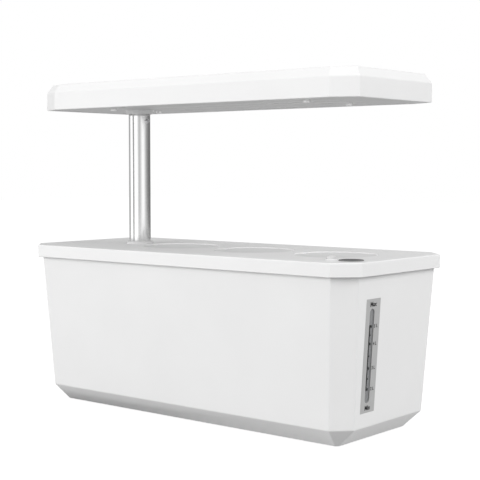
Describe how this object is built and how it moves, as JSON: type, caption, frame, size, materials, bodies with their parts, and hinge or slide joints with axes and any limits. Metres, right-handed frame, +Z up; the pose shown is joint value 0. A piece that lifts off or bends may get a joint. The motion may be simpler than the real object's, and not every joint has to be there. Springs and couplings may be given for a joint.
{
  "type": "indoor herb planter",
  "caption": "Countertop herb planter: tapered water tub with gauge, lid with covered planting wells, and a flat grow lamp on a telescopic pole.",
  "frame": {"origin": "middle of the footprint, on the surface that the feet stand on", "axes": "+X along the tub towards the end with the water gauge, +Y to the back, +Z up"},
  "size_m": [0.4, 0.165, 0.3225],
  "materials": {
    "tub_white": "smooth moulded white",
    "foot_rubber": "matt grey rubber",
    "gauge_grey": "printed light grey strip",
    "gauge_clear": "clear polished plastic",
    "gasket_rubber": "black rubber",
    "guide_grey": "plain moulded grey",
    "screw_steel": "plain steel",
    "float_grey": "moulded dark grey",
    "lid_white": "smooth moulded white",
    "ring_rubber": "matt black rubber",
    "trim_white": "smooth moulded white",
    "inside_white": "plain moulded off-white",
    "board_green": "green laminate",
    "pole_aluminium": "satin anodised tube",
    "bush_white": "plain moulded white",
    "lamp_white": "smooth moulded white",
    "panel_grey": "plain satin off-white",
    "lens_clear": "milky clear plastic",
    "board_white": "white laminate",
    "light_yellow": "small light chips",
    "unit_black": "plain black case",
    "inlet_black": "plain black socket",
    "pump_black": "plain moulded black",
    "rotor_white": "plain moulded white",
    "lead_black": "round black sheath",
    "basket_white": "plain moulded white",
    "sponge_brown": "damp growing sponge",
    "cover_white": "smooth moulded white"
  },
  "bodies": {
    "tub": {"tub": "tub_white", "rubber_feet": "foot_rubber", "gauge_plate": "gauge_grey", "gauge_window": "gauge_clear", "gauge_gasket": "gasket_rubber", "float_guide": "guide_grey", "guide_screws": "screw_steel"},
    "lid": {"lid": "lid_white", "fill_ring": "ring_rubber", "button_bezel": "trim_white", "control_box": "inside_white", "control_cover": "inside_white", "control_screws": "screw_steel", "control_board": "board_green", "pole_socket": "trim_white", "socket_nut": "inside_white", "outer_pole": "pole_aluminium", "pole_bush": "bush_white", "lock_screw": "screw_steel", "pump_housing": "pump_black", "pump_cap": "pump_black", "pump_shaft": "screw_steel", "stand_pipe": "inside_white", "pump_lead": "lead_black", "lead_clips": "inside_white", "control_lead": "lead_black"},
    "level_float": {"level_float": "float_grey"},
    "control_button": {"control_button": "trim_white"},
    "pump_rotor": {"pump_rotor": "rotor_white"},
    "lamp": {"inner_pole": "pole_aluminium", "pole_foot": "bush_white", "lamp_boss": "lamp_white", "boss_nut": "bush_white", "lamp_shell": "lamp_white", "lamp_panel": "panel_grey", "panel_screws": "screw_steel", "light_lenses": "lens_clear", "light_board": "board_white", "lights": "light_yellow", "power_unit": "unit_black", "power_inlet": "inlet_black", "inlet_nut": "screw_steel", "coiled_lead": "lead_black", "lamp_lead": "lead_black", "light_lead": "lead_black", "inlet_lead": "lead_black"},
    "pod_1": {"basket_1": "basket_white", "sponge_1": "sponge_brown"},
    "cover_1": {"well_cover_1": "cover_white"},
    "pod_2": {"basket_2": "basket_white", "sponge_2": "sponge_brown"},
    "cover_2": {"well_cover_2": "cover_white"},
    "pod_3": {"basket_3": "basket_white", "sponge_3": "sponge_brown"},
    "cover_3": {"well_cover_3": "cover_white"}
  },
  "joints": [
    {"name": "lid_lift", "type": "slide", "parent": "tub", "child": "lid", "axis": [0, 0, 1], "range_m": [0, 0.16]},
    {"name": "float_rise", "type": "slide", "parent": "tub", "child": "level_float", "axis": [0.0642, 0, 0.9979], "range_m": [0, 0.0703]},
    {"name": "lamp_height", "type": "slide", "parent": "lid", "child": "lamp", "axis": [0, 0, 1], "range_m": [0, 0.09], "deforming": ["coiled_lead"]},
    {"name": "button_press", "type": "slide", "parent": "lid", "child": "control_button", "axis": [0, 0, -1], "range_m": [0, 0.0012], "stiffness_N_per_m": 600, "springref_m": -0.0015},
    {"name": "pump_spin", "type": "hinge", "parent": "lid", "child": "pump_rotor", "pos_m": [0.09527, -0.03799, 0.0186], "axis": [1, 0, 0], "continuous": true},
    {"name": "pod_1_lift", "type": "slide", "parent": "lid", "child": "pod_1", "axis": [0, 0, 1], "range_m": [0, 0.07]},
    {"name": "cover_1_lift", "type": "slide", "parent": "pod_1", "child": "cover_1", "axis": [0, 0, 1], "range_m": [0, 0.05]},
    {"name": "pod_2_lift", "type": "slide", "parent": "lid", "child": "pod_2", "axis": [0, 0, 1], "range_m": [0, 0.07]},
    {"name": "cover_2_lift", "type": "slide", "parent": "pod_2", "child": "cover_2", "axis": [0, 0, 1], "range_m": [0, 0.05]},
    {"name": "pod_3_lift", "type": "slide", "parent": "lid", "child": "pod_3", "axis": [0, 0, 1], "range_m": [0, 0.07]},
    {"name": "cover_3_lift", "type": "slide", "parent": "pod_3", "child": "cover_3", "axis": [0, 0, 1], "range_m": [0, 0.05]}
  ]
}
